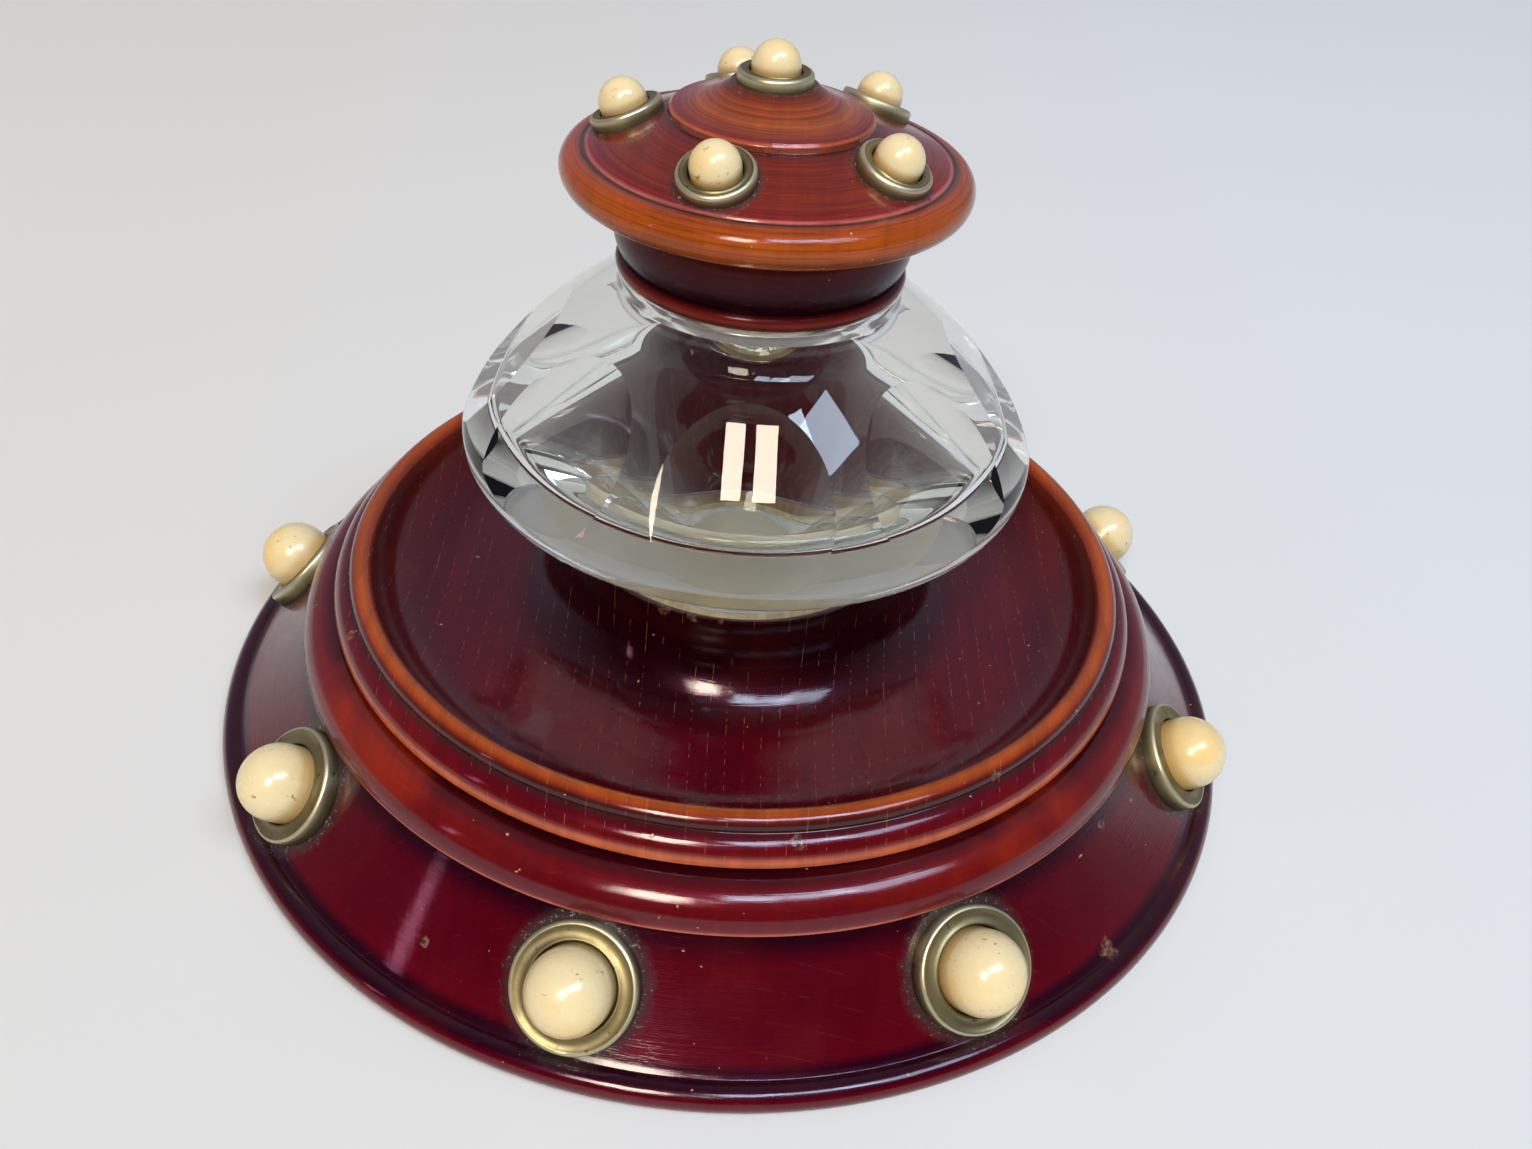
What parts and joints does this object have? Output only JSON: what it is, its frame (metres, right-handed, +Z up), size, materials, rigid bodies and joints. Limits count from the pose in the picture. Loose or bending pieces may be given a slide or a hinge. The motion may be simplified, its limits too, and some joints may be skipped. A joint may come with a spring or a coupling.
{
  "type": "desk inkstand",
  "caption": "Turned wooden desk inkstand: round moulded stand with a dished tray, a loose cut-glass ink well and a lift-off lid, set with bone studs in metal rings.",
  "frame": {"origin": "on the table plane, under the middle of the round foot, on the axis that the stand, the well and the lid share", "axes": "+Z up along the turning axis, +X to the right, -Y towards the front"},
  "size_m": [0.16, 0.16, 0.1026],
  "materials": {
    "dark_mahogany": "french polish, glossy",
    "rubbed_mahogany": "french polish, rubbed",
    "clear_glass": "polished, cut",
    "nickel_silver": "tarnished",
    "bone": "polished",
    "cork": "matt"
  },
  "bodies": {
    "stand": {"plinth": "dark_mahogany", "tray": "rubbed_mahogany", "stand_ring_1": "nickel_silver", "stand_ring_2": "nickel_silver", "stand_ring_3": "nickel_silver", "stand_ring_4": "nickel_silver", "stand_ring_5": "nickel_silver", "stand_ring_6": "nickel_silver", "stand_ring_7": "nickel_silver", "stand_ring_8": "nickel_silver", "stand_bone_1": "bone", "stand_bone_2": "bone", "stand_bone_3": "bone", "stand_bone_4": "bone", "stand_bone_5": "bone", "stand_bone_6": "bone", "stand_bone_7": "bone", "stand_bone_8": "bone"},
    "well": {"ink_well": "clear_glass"},
    "lid": {"lid_cap": "rubbed_mahogany", "lid_collar": "dark_mahogany", "lid_cork": "cork", "lid_ring_1": "nickel_silver", "lid_ring_2": "nickel_silver", "lid_ring_3": "nickel_silver", "lid_ring_4": "nickel_silver", "lid_ring_5": "nickel_silver", "lid_bone_1": "bone", "lid_bone_2": "bone", "lid_bone_3": "bone", "lid_bone_4": "bone", "lid_bone_5": "bone", "crown_ring": "nickel_silver", "crown_bone": "bone"}
  },
  "joints": [
    {"name": "well_lift", "type": "slide", "parent": "stand", "child": "well", "axis": [0, 0, 1], "range_m": [0, 0.03]},
    {"name": "lid_lift", "type": "slide", "parent": "well", "child": "lid", "axis": [0, 0, 1], "range_m": [0, 0.04]}
  ]
}
